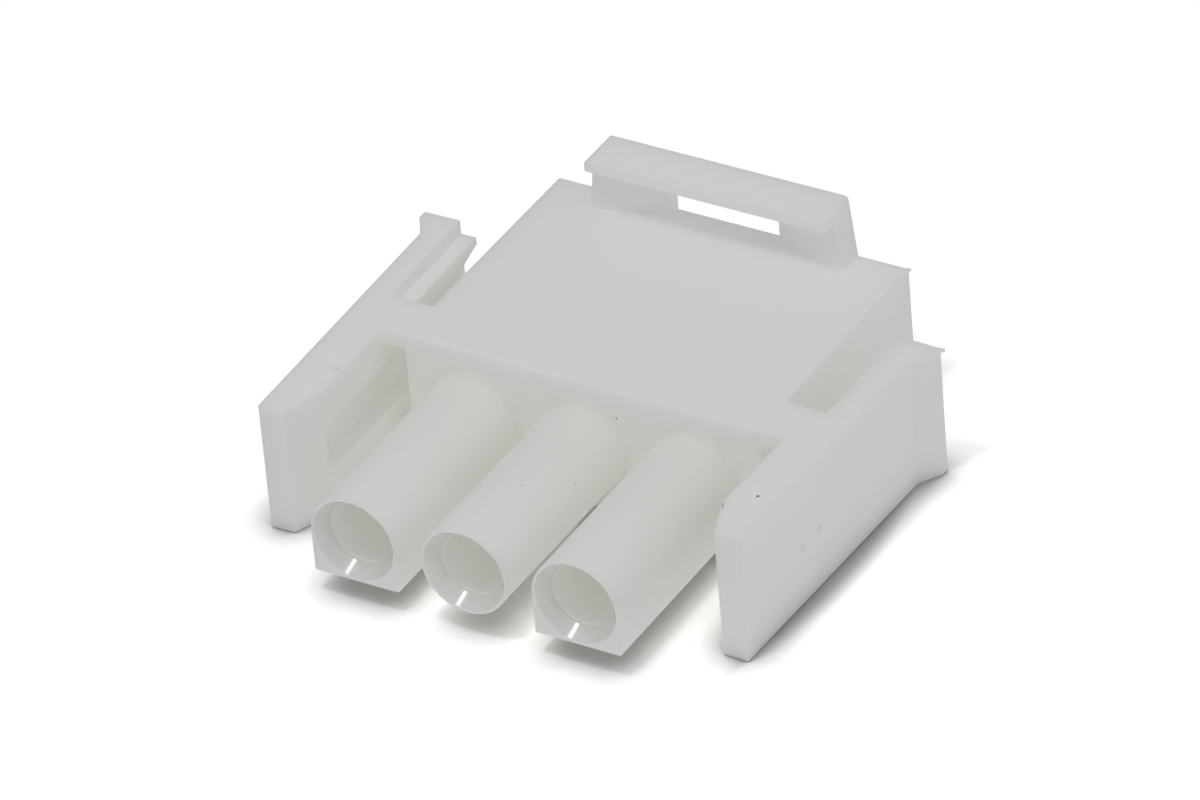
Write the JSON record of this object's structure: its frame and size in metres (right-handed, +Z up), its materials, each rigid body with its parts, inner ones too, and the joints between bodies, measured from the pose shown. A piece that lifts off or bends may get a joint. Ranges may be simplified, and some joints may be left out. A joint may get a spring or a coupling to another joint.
{
  "type": "wire to board connector housing",
  "caption": "One-piece plug housing with contact silos in line, a latch arm on each side and a raised finger ledge at the rear.",
  "frame": {"origin": "on the axis of the row's middle contact cavity, at the body's mating shoulder", "axes": "+X along the contact row, +Y back towards the wires, +Z up; the silos point along -Y"},
  "size_m": [0.03, 0.0276, 0.0109],
  "materials": {
    "natural_nylon": "moulded, satin, slightly translucent"
  },
  "bodies": {
    "root": {"housing": "natural_nylon"}
  },
  "joints": []
}
